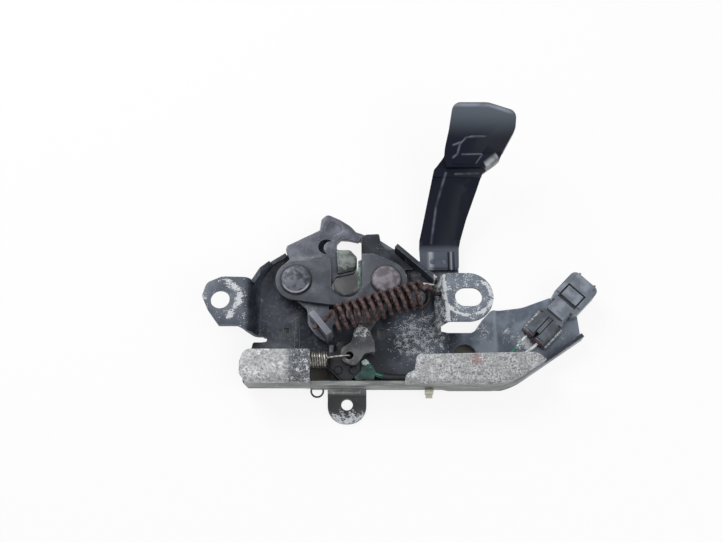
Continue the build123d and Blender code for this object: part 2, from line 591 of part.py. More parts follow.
def plug_box(u0, u1, half_v, z0, z1):
    """A block in the plug's frame, z measured from the plug's axis."""
    return Pos((u0 + u1) / 2, 0, (z0 + z1) / 2) * Box(u1 - u0, 2 * half_v, z1 - z0)


def barrel(v, radius, u0, u1):
    return Pos((u0 + u1) / 2, v, 0) * Rot(0, 90, 0) * Cylinder(radius, u1 - u0)


def connector_retainer():
    """Rear block with two round barrels for the wire seals, ribbed along its top."""
    block = plug_box(1.5, RETAINER_END, 6.3, -4.6, 0)
    for v in (-BARREL_V, BARREL_V):
        block += barrel(v, BARREL_R, 0, RETAINER_END)
        block += Pos(0, v, 0) * plug_box(1.0, RETAINER_END, 1.7, 0, 4.0)
    block += plug_box(3.0, RETAINER_END, 1.0, 0, 3.6)
    block += plug_box(RETAINER_END - 1.6, RETAINER_END, 6.3, -4.6, 4.2)
    for v in (-BARREL_V, BARREL_V):
        block -= barrel(v, SEAL_R, -1, SEAL_END)
        block -= barrel(v, TERMINAL_R, SEAL_END - 1, RETAINER_END + 1)
    return plug_place(block)


def connector_housing():
    """Two-way plug housing: neck with its flat tongue, square head and the latch window."""
    body = plug_box(RETAINER_END, 21, 5.4, -4.6, 3.4)
    body += plug_box(15.2, LATCH_START - 1.9, 4.9, 2.4, 5.0)
    head_start = plug_box(HEAD_START, HEAD_START + 4, HEAD_HALF - 0.4, -5.0, 4.6)
    head_plan = outline(
        (HEAD_START - 3, -HEAD_HALF + 1.6, 1), (HEAD_START, -HEAD_HALF, 1.2), (PLUG_LENGTH, -HEAD_HALF, 3.0),
        (PLUG_LENGTH, HEAD_HALF, 3.0), (HEAD_START, HEAD_HALF, 1.2), (HEAD_START - 3, HEAD_HALF - 1.6, 1),
    )
    body += head_start + prism(head_plan, -5.0, 5.0)
    for side in (-1, 1):
        body += Pos(0, side * 6.3, 0) * plug_box(HEAD_START + 1, PLUG_LENGTH - 3.0, 1.0, 5.0, 5.9)
        body += Pos(0, side * 4.6, 0) * plug_box(PLUG_LENGTH - 0.5, PLUG_LENGTH + 0.9, 0.5, 2.6, 4.4)
    body += plug_box(LATCH_END + 0.8, PLUG_LENGTH - 0.8, 5.3, 5.0, 5.7)
    gap = plug_box(LATCH_START - 1.7, LATCH_END + 0.7, 5.3, 3.6, 8)
    latch = plug_box(LATCH_START, LATCH_END, 4.5, 3.0, 5.8)
    body = body - gap + latch
    body -= plug_box(28, 45, 5.9, -3.6, 2.8)
    for v in (-BARREL_V, BARREL_V):
        body -= barrel(v, TERMINAL_R, 12, 29)
    return plug_place(body)


def connector_seals():
    seals = []
    for v in (-BARREL_V, BARREL_V):
        seal = barrel(v, SEAL_R, -0.6, SEAL_END) - barrel(v, LEAD_R, -2, 20)
        seals.append(plug_place(seal))
    return seals


def connector_terminals():
    """Two flat blades that stand in the plug's mouth, on round crimped shanks."""
    blades = []
    for v in (-BARREL_V, BARREL_V):
        blade = Pos(31.0, v, 0) * Box(8.0, 1.5, 0.64) + barrel(v, TERMINAL_R, SEAL_END, 27.2)
        blades.append(plug_place(blade))
    return blades


def connector_clip():
    """Moulded foot between plug and arm, with a stud in the arm's hole."""
    foot = plug_box(CLIP_U - 10.4, CLIP_U + 2.0, 7.5, -6.2, -4.6)
    for side in (-1, 1):
        foot += Pos(0, side * 7.0, 0) * plug_box(CLIP_U - 10.4, CLIP_U + 2.0, 0.5, -4.6, -2.6)
    stud = Pos(CLIP_U, 0, -7.2) * Cylinder(CLIP_STUD_R, 2.0)
    return plug_place(foot + stud)


def lead_points(side):
    """The route of one lead, from the switch's sealing block to its terminal in the plug."""
    entry = plug_place(Pos(-4.5, side * BARREL_V, 0)).position
    seal = plug_place(Pos(SEAL_END, side * BARREL_V, 0)).position
    shared = [(x, y, z + side * LEAD_OFFSET) for x, y, z in LEAD_ROUTE]
    spread = (79.6, -35.4, 3.6 + LEAD_OFFSET) if side > 0 else (81.4, -37.6, 3.2 - LEAD_OFFSET)
    boot_end = (10.8, -44.1, shared[0][2])
    return [boot_end, *shared, spread, tuple(entry), tuple(seal)]


def corner_radii(points):
    """Arcs as large as their two runs allow."""
    radii = []
    for before, here, after in zip(points, points[1:], points[2:]):
        run_in = Vector(*here) - Vector(*before)
        run_out = Vector(*after) - Vector(*here)
        half_turn = radians(run_in.get_angle(run_out)) / 2
        slope = max(0.01, abs(sin(half_turn) / cos(half_turn)))
        radii.append(0.45 * min(run_in.length, run_out.length) / slope)
    return radii


def lead_wire(side):
    points = lead_points(side)
    return wire(points, corner_radii(points), LEAD_R)


def lead_sleeve():
    """Black sleeve over both leads where they run behind the flange and under its lip."""
    route = [(10.8, -44.1, LEAD_ROUTE[0][2]), *LEAD_ROUTE, (80.5, -36.5, 3.4)]
    radii = corner_radii(route)
    start = Vector(*LEAD_ROUTE[1]) + (Vector(*LEAD_ROUTE[0]) - Vector(*LEAD_ROUTE[1])) * 0.5
    end = Vector(*LEAD_ROUTE[5]) + (Vector(*LEAD_ROUTE[4]) - Vector(*LEAD_ROUTE[5])) * 0.5
    points = [tuple(start), *LEAD_ROUTE[1:5], tuple(end)]
    path = FilletPolyline(*points, radius=radii[1:5])
    first = Plane(origin=path @ 0, z_dir=path % 0)
    tube = sweep(first * Circle(SLEEVE_R), path=path.wire())
    return tube - sweep(first * Circle(SLEEVE_BORE), path=path.wire())


def lead_clip():
    """Cream clip in the bottom edge of the flange."""
    head = Pos(39.8, -53.5, 0.4) * Box(4.0, 2.0, 5.0)
    foot = Pos(39.8, -55.2, -1.2) * Box(3.2, 2.0, 1.8)
    return head + foot


def clip_ring():
    """Small wire loop below the bottom flange."""
    loop = Pos(-13.8, -52.9, -0.8) * Torus(2.9, 0.45)
    return loop


NODES = {
    "base_plate": base_plate,
    "bearing_plate": bearing_plate,
    "left_pivot_rivet": lambda: big_rivet(PIVOT_A, 7.3, 1.7),
    "right_pivot_rivet": lambda: big_rivet(PIVOT_B, 7.1, 2.0),
    "fork_washer": lambda: spacer(PIVOT_A),
    "pawl_washer": lambda: spacer(PIVOT_B),
    "fork_bolt": fork_bolt,
    "fork_jaw_pad": fork_jaw_pad,
    "slot_liner": slot_liner,
    "pawl": pawl,
    "main_spring": main_spring,
    "pawl_spring": pawl_spring,
    "safety_catch": safety_catch,
    "release_handle": release_handle,
    "handle_rivets": handle_rivets,
    "handle_pivot_rivet": handle_pivot_rivet,
    "handle_spring": handle_spring,
    "switch_housing": switch_housing,
    "switch_cover": switch_cover,
    "switch_plunger": switch_plunger,
    "switch_rivets": switch_rivets,
    "switch_boot": switch_boot,
    "wire_green": lambda: lead_wire(1),
    "wire_white": lambda: lead_wire(-1),
    "lead_sleeve": lead_sleeve,
    "lead_clip": lead_clip,
    "clip_ring": clip_ring,
    "connector_housing": connector_housing,
    "connector_retainer": connector_retainer,
    "connector_seals": connector_seals,
    "connector_terminals": connector_terminals,
    "connector_clip": connector_clip,
}


def main():
    os.makedirs("parts", exist_ok=True)
    for name, make in NODES.items():
        made = make()
        pieces = made if isinstance(made, list) else [made]
        solids = [solid for piece in pieces for solid in piece.solids()]
        whole = Compound(children=solids) if len(solids) > 1 else solids[0]
        export_step(whole, f"parts/{name}.step")


if __name__ == "__main__":
    main()
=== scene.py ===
import json
from math import cos, pi, radians, sin

import bpy
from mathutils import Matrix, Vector


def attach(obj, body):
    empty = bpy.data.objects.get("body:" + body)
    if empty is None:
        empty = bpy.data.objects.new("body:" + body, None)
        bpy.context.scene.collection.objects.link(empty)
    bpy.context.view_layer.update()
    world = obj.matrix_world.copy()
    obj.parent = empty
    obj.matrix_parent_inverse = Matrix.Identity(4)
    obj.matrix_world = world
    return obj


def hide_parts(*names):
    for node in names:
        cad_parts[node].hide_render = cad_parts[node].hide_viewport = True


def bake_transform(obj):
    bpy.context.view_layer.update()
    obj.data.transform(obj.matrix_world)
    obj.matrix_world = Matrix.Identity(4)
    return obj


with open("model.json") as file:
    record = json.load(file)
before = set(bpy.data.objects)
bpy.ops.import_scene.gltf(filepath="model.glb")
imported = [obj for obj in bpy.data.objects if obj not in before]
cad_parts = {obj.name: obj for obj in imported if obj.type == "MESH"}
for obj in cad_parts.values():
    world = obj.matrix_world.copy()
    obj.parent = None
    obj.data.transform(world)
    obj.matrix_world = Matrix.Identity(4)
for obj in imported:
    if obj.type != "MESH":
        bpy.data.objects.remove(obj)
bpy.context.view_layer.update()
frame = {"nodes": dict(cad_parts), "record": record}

MM = 0.001

# The body and the material slot of each node, from the record
NODE_BODY = {node: body for body, nodes in frame["record"]["behaviour"]["bodies"].items() for node in nodes}
NODE_SLOT = {part["node"]: part["material_slot"] for part in frame["record"]["subparts"]}

# Axes by number, and sockets of the Mix node, whose names are the same for every kind of value
X, Y, Z = 0, 1, 2
MIX_SHARE, MIX_VALUE_A, MIX_VALUE_B, MIX_COLOUR_A, MIX_COLOUR_B, MIX_COLOUR_OUT = 0, 2, 3, 6, 7, 2

# Places on the latch that its looks need, in millimetres in the part's own frame
FLOOR_Z = -5.0
LEFT_PIVOT = (-24.5, 0, 0)
RIGHT_PIVOT = (19.5, 0, 0)
LEFT_EAR_HOLE = (-60.4, -11.6, 0)
RIGHT_EAR_HOLE = (58.9, -10.3, 0)
ARM_HOLE = (57.6, -32, 0)
LEFT_WINDOW = (-11, -44, 0)

# Main spring: its coil, the hole in the fork's bent-up arm, the way that this arm faces, and the hole in
# the right wall
MAIN_START = Vector((-5.6, -22.2, 17.6))
MAIN_END = Vector((36.8, -9.2, 16.6))
MAIN_COIL_R = 5.9
MAIN_WIRE_R = 1.1
MAIN_TURNS = 12
FORK_EYE = Vector((-12.0, -24.9, 17.6))
FORK_ARM_FACING = radians(51.6)
WALL_EYE = Vector((46.6, -7.4, 9.8))

# Pawl spring: its coil and the hole in the pawl's lever
PAWL_START = Vector((-16.8, -40.2, 9.6))
PAWL_END = Vector((-8.9, -40.2, 9.6))
PAWL_COIL_R = 3.6
PAWL_WIRE_R = 0.5
PAWL_TURNS = 7
PAWL_EYE = Vector((1.7, -38.2, 11.4))

# The photograph's view: the point looked at and the distance in millimetres, the lean back from straight
# above, the width and focal length in pixels, the sensor in millimetres and the nearest view in metres
VIEW_TARGET = Vector((7.2, 10.0, -5.0))
VIEW_DISTANCE = 515.0
VIEW_LEAN = radians(20)
PHOTO_WIDTH = 722
PHOTO_FOCAL = 1020.0
SENSOR_WIDTH = 36.0
NEAR_CLIP = 0.01

# Lamps: name, place and size in millimetres, power in watts
LAMPS = (
    ("window_lamp", (-420, 520, 620), 520, 4.2),
    ("fill_lamp", (520, -260, 700), 700, 2.2),
)

# Sky: its strength as light and as it is seen
SKY_LIGHT = 0.55
SKY_SEEN = 1.0

# White table: its width in metres and the share of its white that is plain to the camera
TABLE_WIDTH = 6.0
TABLE_GLOW = 0.86

# Sharp edges of the CAD pieces: doubles merged below this distance, flats kept whole below one angle and
# edges broken above another
MERGE_DISTANCE = 0.002 * MM
FLAT_ANGLE = radians(1.0)
SHARP_ANGLE = radians(38)

# Width of the broken edges of each piece, in millimetres
SOFTENED_EDGES = {
    "base_plate": 0.25, "bearing_plate": 0.3, "fork_bolt": 0.3, "pawl": 0.3, "release_handle": 0.35,
    "safety_catch": 0.25, "fork_jaw_pad": 0.35, "slot_liner": 0.25, "left_pivot_rivet": 0.3,
    "right_pivot_rivet": 0.3, "connector_housing": 0.25, "connector_retainer": 0.25, "connector_clip": 0.2,
    "switch_housing": 0.25, "switch_cover": 0.2, "switch_boot": 0.4, "lead_clip": 0.3, "handle_rivets": 0.2,
}


# Camera and lamps

def place_camera():
    """Puts the camera where the photograph was taken from."""
    bpy.ops.object.camera_add()
    camera = bpy.context.object
    camera.name = "bench_camera"
    back = Vector((0, -sin(VIEW_LEAN), cos(VIEW_LEAN)))
    camera.location = (VIEW_TARGET + back * VIEW_DISTANCE) * MM
    camera.rotation_euler = (VIEW_LEAN, 0, 0)
    camera.data.sensor_width = SENSOR_WIDTH
    camera.data.lens = SENSOR_WIDTH * PHOTO_FOCAL / PHOTO_WIDTH
    camera.data.clip_start = NEAR_CLIP
    bpy.context.scene.camera = camera


def place_lamp(name, place, size, power):
    """Adds a square lamp that points at the latch."""
    bpy.ops.object.light_add(type="AREA", location=Vector(place) * MM)
    lamp = bpy.context.object
    lamp.name = name
    lamp.data.size = size * MM
    lamp.data.energy = power
    lamp.rotation_euler = (-Vector(place)).to_track_quat("-Z", "Y").to_euler()


def light_the_bench():
    """A window, a weaker lamp opposite, and a white sky that lights less than it shows."""
    for lamp in LAMPS:
        place_lamp(*lamp)
    world = bpy.context.scene.world or bpy.data.worlds.new("bench_world")
    bpy.context.scene.world = world
    world.use_nodes = True
    world.node_tree.nodes.clear()
    strength = ramp(world, seen_rays(world), 0.0, 1.0, SKY_LIGHT, SKY_SEEN)
    sky = add(world, "Background", {"Strength": strength})
    out = add(world, "OutputWorld")
    world.node_tree.links.new(sky.outputs[0], out.inputs["Surface"])


# Materials

def linear(hex_colour):
    """An sRGB hex colour as linear RGBA."""
    parts = [int(hex_colour[i:i + 2], 16) / 255 for i in (1, 3, 5)]
    return tuple([c / 12.92 if c <= 0.04045 else ((c + 0.055) / 1.055) ** 2.4 for c in parts]) + (1.0,)


def add(material, kind, inputs=None, **settings):
    """Adds one shader node with its settings; an input is a value or another node's output."""
    made = material.node_tree.nodes.new("ShaderNode" + kind)
    for name, value in settings.items():
        setattr(made, name, value)
    for name, value in (inputs or {}).items():
        if isinstance(value, bpy.types.NodeSocket):
            material.node_tree.links.new(value, made.inputs[name])
        else:
            made.inputs[name].default_value = value
    return made


def seen_rays(owner):
    """1 for rays from the camera, and for those that show the background in gloss or glass."""
    rays = add(owner, "LightPath").outputs
    return either(owner, rays["Is Camera Ray"], rays["Is Glossy Ray"], rays["Is Transmission Ray"])


def start_material(name, metallic, roughness, specular=0.5):
    """A new material with its shader and the place on the piece, in the part's frame."""
    material = bpy.data.materials.new(name)
    material.use_nodes = True
    shader = material.node_tree.nodes["Principled BSDF"]
    shader.inputs["Metallic"].default_value = metallic
    shader.inputs["Roughness"].default_value = roughness
    shader.inputs["Specular IOR Level"].default_value = specular
    place = add(material, "TexCoord").outputs["Object"]
    return material, shader, place


def grains(material, place, size_mm, detail=3.0, shift=0.0):
    """Noise from 0 to 1 whose grains are about size_mm wide; another shift gives another pattern."""
    moved = add(material, "Mapping", {"Vector": place, "Location": (shift, shift * 0.7, shift * 1.3)})
    scale = 1 / (size_mm * 2 * MM)
    noise = add(material, "TexNoise", {"Vector": moved.outputs[0], "Scale": scale, "Detail": detail})
    return noise.outputs[0]


def ramp(material, value, low, high, at_low=0.0, at_high=1.0):
    """A value taken from low..high to at_low..at_high, with soft ends."""
    cut = add(material, "MapRange", {"Value": value, "From Min": low, "From Max": high, "To Min": at_low,
                                     "To Max": at_high}, interpolation_type="SMOOTHSTEP")
    return cut.outputs[0]


def speckle(material, place, size_mm, low, high, detail=3.0, shift=0.0):
    """A mask from 0 to 1 of noise whose grains are about size_mm wide, cut between low and high."""
    return ramp(material, grains(material, place, size_mm, detail, shift), low, high)


def band(material, place, axis, start_mm, end_mm):
    """A mask that rises from 0 at start_mm to 1 at end_mm along an axis of the part."""
    parts = add(material, "SeparateXYZ", {"Vector": place})
    return ramp(material, parts.outputs[axis], start_mm * MM, end_mm * MM)


def stripe(material, place, start_mm, end_mm, width_mm):
    """A straight soft line in plan from one point to another: 1 on it, 0 at width_mm beside it."""
    start = Vector(start_mm) * MM
    run = (Vector(end_mm) - Vector(start_mm)) * MM
    along = run.normalized()
    away = add(material, "VectorMath", {0: place, 1: (*start, 0)}, operation="SUBTRACT").outputs[0]
    beside = add(material, "VectorMath", {0: away, 1: (-along.y, along.x, 0)}, operation="DOT_PRODUCT")
    side = add(material, "Math", {0: beside.outputs["Value"]}, operation="ABSOLUTE").outputs[0]
    reach = add(material, "VectorMath", {0: away, 1: (*along, 0)}, operation="DOT_PRODUCT").outputs["Value"]
    soft = 0.4 * MM
    begun = ramp(material, reach, -soft, soft)
    unfinished = ramp(material, reach, run.length - soft, run.length + soft, 1, 0)
    between = both(material, begun, unfinished)
    return both(material, ramp(material, side, 0, width_mm * MM, 1, 0), between)


def trail(material, place, points_mm, width_mm):
    """Stripes joined end to end through a list of points."""
    runs = zip(points_mm, points_mm[1:])
    return either(material, *[stripe(material, place, start, end, width_mm) for start, end in runs])


def distance(material, place, centre_mm, stretch):
    """How far a place lies from a point, with each axis stretched; a stretch of 0 leaves an axis out."""
    away = add(material, "VectorMath", {0: place, 1: Vector(centre_mm) * MM}, operation="SUBTRACT").outputs[0]
    shaped = add(material, "VectorMath", {0: away, 1: stretch}, operation="MULTIPLY").outputs[0]
    return add(material, "VectorMath", {0: shaped}, operation="LENGTH").outputs["Value"]


def spot(material, place, centre_mm, inner_mm, outer_mm, stretch=(1, 1, 1)):
    """A round mask about a point: 1 inside inner_mm, 0 outside outer_mm."""
    return ramp(material, distance(material, place, centre_mm, stretch), inner_mm * MM, outer_mm * MM, 1, 0)


def halo(material, place, centre_mm, radius_mm, width_mm, stretch=(1, 1, 0)):
    """A ring in plan about a hole: 1 on its circle, 0 at width_mm from it."""
    far = distance(material, place, centre_mm, stretch)
    off = add(material, "Math", {0: far, 1: radius_mm * MM}, operation="SUBTRACT").outputs[0]
    side = add(material, "Math", {0: off}, operation="ABSOLUTE").outputs[0]
    return ramp(material, side, 0, width_mm * MM, 1, 0)


def both(material, *masks):
    """Where all masks are 1; a number in place of a mask makes the result weaker."""
    result = masks[0]
    for mask in masks[1:]:
        result = add(material, "Math", {0: result, 1: mask}, operation="MULTIPLY", use_clamp=True).outputs[0]
    return result


def either(material, *masks):
    """Where any mask is 1."""
    result = masks[0]
    for mask in masks[1:]:
        result = add(material, "Math", {0: result, 1: mask}, operation="MAXIMUM", use_clamp=True).outputs[0]
    return result


def outside(material, mask):
    """Where the mask is 0."""
    return add(material, "Math", {0: 1.0, 1: mask}, operation="SUBTRACT", use_clamp=True).outputs[0]


def tint(material, mask, under, over):
    """Colour over laid on colour under where the mask is 1. Each is sRGB hex or another node's output."""
    under, over = [linear(colour) if isinstance(colour, str) else colour for colour in (under, over)]
    mixed = add(material, "Mix", {MIX_SHARE: mask, MIX_COLOUR_A: under, MIX_COLOUR_B: over}, data_type="RGBA")
    return mixed.outputs[MIX_COLOUR_OUT]


def link(material, output, shader, name):
    """Joins a node's output to one input of the shader."""
    material.node_tree.links.new(output, shader.inputs[name])


def relief(material, shader, height, distance_mm, strength=1.0):
    """Raises the surface by distance_mm where the height is 1."""
    bump = add(material, "Bump", {"Height": height, "Distance": distance_mm * MM, "Strength": strength})
    link(material, bump.outputs[0], shader, "Normal")


def edge_wear_and_highlight(material, place, shade, bare, width_mm=0.5, share=0.6):
    """Lays a lighter colour on a finish along its edges, broken up in patches: partly edges rubbed bare by
    handling, partly a painted highlight where edges catch the light.
    """
    bent = add(material, "Bevel", {"Radius": width_mm * MM}, samples=4).outputs[0]
    flat = add(material, "NewGeometry").outputs["Normal"]
    same = add(material, "VectorMath", {0: bent, 1: flat}, operation="DOT_PRODUCT").outputs["Value"]
    patches = ramp(material, grains(material, place, 2.2, 3, 0.9), 0.36, 0.58, 0.25, share)
    # Edges lighter partly from wear and partly as a painted highlight
    edge = ramp(material, same, 0.965, 0.84)
    return tint(material, both(material, edge, patches), shade, bare)


def occlusion_shade(material, shade, reach_mm=3.0, share=0.75):
    """Paints shade into a colour in corners and under neighbours, darker where less of the sky is open."""
    open_sky = add(material, "AmbientOcclusion", {"Distance": reach_mm * MM}, samples=6).outputs["AO"]
    # This mask is painted shade: the colour goes dark where the occlusion node finds little open sky.
    dirt = ramp(material, open_sky, 0.25, 0.85, share, 0.0)
    return tint(material, dirt, shade, "#0d0e11")


def white_bloom(material, place, density, grain_mm, shift=0.0):
    """White corrosion: single specks where density is low, closing to a crust where it nears 1."""
    fine = grains(material, place, grain_mm, 4, shift)
    clumps = grains(material, place, grain_mm * 4.5, 3, shift + 0.31)
    mixed = add(material, "Mix", {MIX_SHARE: 0.45, MIX_VALUE_A: fine, MIX_VALUE_B: clumps}).outputs[0]
    share = add(material, "Math", {0: density, 1: 0.30}, operation="MULTIPLY").outputs[0]
    lifted = add(material, "Math", {0: mixed, 1: share}, operation="ADD").outputs[0]
    return ramp(material, lifted, 0.64, 0.72)


# Finish of the base plate

def plate_regions(material, place):
    """Masks of the plate's regions that differ in colour or in corrosion, by name."""
    def along(axis, start, end):
        return band(material, place, axis, start, end)

    front = along(Y, -35.6, -36.9)
    left_lip = both(material, front, along(Z, 13.0, 15.0), along(X, -16.0, -17.0))
    right_lip = both(material, front, along(Z, 10.0, 12.4), along(X, 26.0, 27.2))
    lips = either(material, left_lip, right_lip)
    outer_wall = both(material, along(Y, -49.6, -50.6), along(Z, -2.0, 0.0), outside(material, lips))
    left_ear = both(material, along(X, -46.0, -49.0), along(Y, -29.0, -27.0))
    right_ear = both(material, along(Z, 11.5, 12.8), along(X, 44.5, 47.0), along(Y, -27.0, -25.6))
    slope_sides = both(material, along(X, 41.6, 43.0), along(X, 49.0, 47.5))
    slope = both(material, slope_sides, along(Z, 3.0, 5.0), along(Y, -37.5, -36))
    right_pan = both(material, spot(material, place, (36, -28, 2), 6, 24), along(X, 12, 26),
                     along(Z, 6.0, 4.0))
    arm = both(material, along(X, 52.0, 58.0), along(Z, 3.0, 1.0))
    tab = both(material, along(Y, -58.5, -66.5), along(Z, -1.0, -2.0))
    return {
        "left_lip": left_lip, "lips": lips, "outer_wall": outer_wall, "left_ear": left_ear,
        "right_ear": right_ear, "slope": slope, "right_pan": right_pan, "arm": arm, "tab": tab,
    }


def plate_bloom(material, place, region):
    """White corrosion of the plate: specks on its floor, patches on its arm, streaks and broken rings on
    its ears."""
    broken = ramp(material, grains(material, place, 2.6, 3, 0.4), 0.38, 0.56, 0.45, 1.0)
    left_halo = both(material, halo(material, place, LEFT_EAR_HOLE, 9.2, 4.2), broken)
    left_halo = both(material, left_halo, either(material, band(material, place, X, -63.0, -54.0), 0.45))
    right_halo = both(material, halo(material, place, RIGHT_EAR_HOLE, 9.3, 2.0, (0.84, 1, 0)), broken)
    below, beside = band(material, place, Y, -11.0, -16.0), band(material, place, X, 62.0, 67.0)
    right_halo = both(material, right_halo, either(material, below, beside, 0.3))
    streak = stripe(material, place, (46.9, 1.7), (49.2, -23.6), 2.3)
    arm_patches = either(
        material, both(material, spot(material, place, (66, -23.5, -1), 1, 10), 0.42),
        both(material, spot(material, place, (79, -24, -3), 1, 8), 0.36),
        both(material, spot(material, place, (88.5, -27.5, -4), 2, 9), 0.7),
        both(material, spot(material, place, (104, -26, -4), 2, 14), 0.3),
    )
    on_right_ear = either(material, both(material, streak, 0.9), both(material, right_halo, 1.1), 0.40)
    density = either(
        material,
        both(material, region["left_ear"], either(material, left_halo, 0.26)),
        both(material, region["right_ear"], on_right_ear),
        both(material, region["slope"], 0.56), arm_patches, both(material, region["tab"], 0.8),
        both(material, region["lips"], 0.42), both(material, region["outer_wall"], 0.18), 0.07,
    )
    bloom = white_bloom(material, place, density, grain_mm=0.34)
    dusted = either(material, both(material, region["right_pan"], 0.52), both(material, arm_patches, 0.8))
    dusting = white_bloom(material, place, dusted, grain_mm=0.26, shift=0.6)
    return either(material, bloom, both(material, dusting, 0.8))


def plate_coat(material, place, region):
    """Colour of the dip coat: blue-black, greyer on the ears, the arm and the right of the pan, with
    scum in the left of the pan, a painted highlight along the crease of the arm and drawn-out streaks on the
    outer wall."""
    cloud = speckle(material, place, 7.0, 0.40, 0.62, detail=3, shift=0.77)
    coat = tint(material, cloud, "#20252e", "#3f444f")
    crumbs = speckle(material, place, 0.9, 0.50, 0.64, detail=5, shift=0.21)
    coat = tint(material, both(material, crumbs, band(material, place, X, -8, -14), 0.4), coat, "#5c626d")
    pan_grey = tint(material, cloud, "#3c434e", "#5d6573")
    coat = tint(material, both(material, region["right_pan"], 0.8), coat, pan_grey)
    coat = tint(material, region["arm"], coat, tint(material, cloud, "#5c6673", "#8e98a6"))
    # Painted highlight along the crease in the arm
    crease_highlight = both(material, stripe(material, place, (73.0, -12.0), (73.0, -34.0), 1.6), region["arm"], 0.6)
    coat = tint(material, crease_highlight, coat, "#a3abb5")
    ears = either(material, region["left_ear"], region["right_ear"])
    coat = tint(material, ears, coat, tint(material, cloud, "#4b525d", "#636a76"))
    coat = tint(material, region["right_ear"], coat, tint(material, cloud, "#525a65", "#727b87"))
    coat = tint(material, region["slope"], coat, "#555b66")
    below = both(material, band(material, place, Y, -45, -53), band(material, place, Z, 0.5, -1.5))
    coat = tint(material, below, coat, "#3d3f41")
    drawn_out = add(material, "Mapping", {"Vector": place, "Scale": (0.12, 1, 1)}).outputs[0]
    streaks = speckle(material, drawn_out, 1.1, 0.42, 0.60, detail=4)
    return tint(material, region["outer_wall"], coat, tint(material, streaks, "#606464", "#949793"))


def lip_zinc(material, place, region):
    """Colour of the bare zinc on the folded lips, lighter on the left one, with painted shade at its inner
    end.
    """
    mottle = speckle(material, place, 0.5, 0.42, 0.58, detail=5, shift=0.13)
    grey = tint(material, mottle, "#85878a", "#c2c3c4")
    grey = tint(material, region["left_lip"], grey, tint(material, mottle, "#a3a5a8", "#e6e7e9"))
    film = both(material, speckle(material, place, 3.5, 0.44, 0.60, shift=0.5), 0.6)
    grey = tint(material, film, grey, "#9a9c9b")
    umber = both(material, speckle(material, place, 0.9, 0.56, 0.64, detail=4, shift=0.7), 0.5)
    grey = tint(material, umber, grey, "#4f4f4d")
    # Painted shade over the inner end of the left lip
    inner_end_shade = both(material, band(material, place, X, -30.0, -24.5), region["left_lip"], 0.85)
    return tint(material, inner_end_shade, grey, tint(material, mottle, "#2f343b", "#5b6068"))


def corroded_e_coat():
    """Black dip coat on pressed steel, with bare grey zinc on the folded lips, bright edges that are partly
    worn and partly a painted highlight, painted shade in its corners, a rust stain at the right ear and white
    bloom over it all."""
    material, shader, place = start_material("e_coat_white_bloom", metallic=0.0, roughness=0.5, specular=0.35)
    region = plate_regions(material, place)
    bloom = plate_bloom(material, place, region)
    coat = plate_coat(material, place, region)
    shade = tint(material, region["lips"], coat, lip_zinc(material, place, region))
    shade = edge_wear_and_highlight(material, place, shade, "#a9afb8", width_mm=0.5, share=0.7)
    rust = both(material, spot(material, place, (61.5, -41.0, 14), 1.6, 4.6), 0.6)
    shade = tint(material, rust, shade, "#8e6462")
    white = tint(material, grains(material, place, 0.3, 2, 0.9), "#aeb4bc", "#f1f3f5")
    shade = tint(material, bloom, shade, white)
    link(material, occlusion_shade(material, shade), shader, "Base Color")
    link(material, ramp(material, bloom, 0, 1, 0.46, 0.9), shader, "Roughness")
    relief(material, shader, bloom, distance_mm=0.22, strength=0.6)
    return material


# Finishes of the other pieces

def phosphated_strap():
    """Dark grey phosphated steel, smooth, with a soft sheen and a thin film of dust, lighter along its edges,
    partly rubbed bare and partly a painted highlight, and with painted shade in a ring round the seats of the
    two rivets and in its corners."""
    material, shader, place = start_material("phosphated_steel", metallic=0.2, roughness=0.44, specular=0.4)
    dust = speckle(material, place, 3.5, 0.42, 0.68)
    shade = tint(material, dust, "#43474f", "#555962")
    scuff = both(material, speckle(material, place, 0.5, 0.60, 0.70, detail=4), 0.25)
    shade = tint(material, scuff, shade, "#8d9097")
    shade = edge_wear_and_highlight(material, place, shade, "#b4b8bf", width_mm=0.8, share=0.85)
    # Painted shade: a dark ring round where each rivet head sits on the strap
    left_seat = halo(material, place, LEFT_PIVOT, 7.7, 0.6)
    seats = either(material, left_seat, halo(material, place, RIGHT_PIVOT, 7.5, 0.6))
    shade = tint(material, both(material, seats, 0.8), shade, "#15161a")
    link(material, occlusion_shade(material, shade), shader, "Base Color")
    relief(material, shader, dust, distance_mm=0.05, strength=0.4)
    return material


def staked_rivet():
    """Dark steel rivet heads, turned and staked: the right one rubbed a little lighter and warmer, the left
    one with a painted highlight in an arc low on its head."""
    material, shader, place = start_material(
        "staked_rivet_steel", metallic=0.25, roughness=0.42, specular=0.4)
    wear = speckle(material, place, 1.6, 0.42, 0.62, detail=4)
    left = tint(material, wear, "#34373f", "#676a74")
    right = tint(material, wear, "#5f5c62", "#878089")
    shade = tint(material, band(material, place, X, -5, 5), left, right)
    # Painted highlight: a bright arc low on the left rivet's head
    arc = halo(material, place, LEFT_PIVOT, 6.7, 0.6)
    shine = both(material, arc, band(material, place, Y, -1.0, -4.0), 0.7)
    shade = tint(material, shine, shade, "#c3c6cd")
    link(material, occlusion_shade(material, shade, reach_mm=2.0), shader, "Base Color")
    relief(material, shader, wear, distance_mm=0.14, strength=0.6)
    return material


def dull_steel():
    """Plain zinc plated steel gone dull dark grey under dirt."""
    material, shader, place = start_material("dull_zinc_steel", metallic=0.4, roughness=0.48)
    wear = speckle(material, place, 1.2, 0.45, 0.65)
    link(material, tint(material, wear, "#3e4045", "#63656b"), shader, "Base Color")
    relief(material, shader, wear, distance_mm=0.05, strength=0.5)
    return material


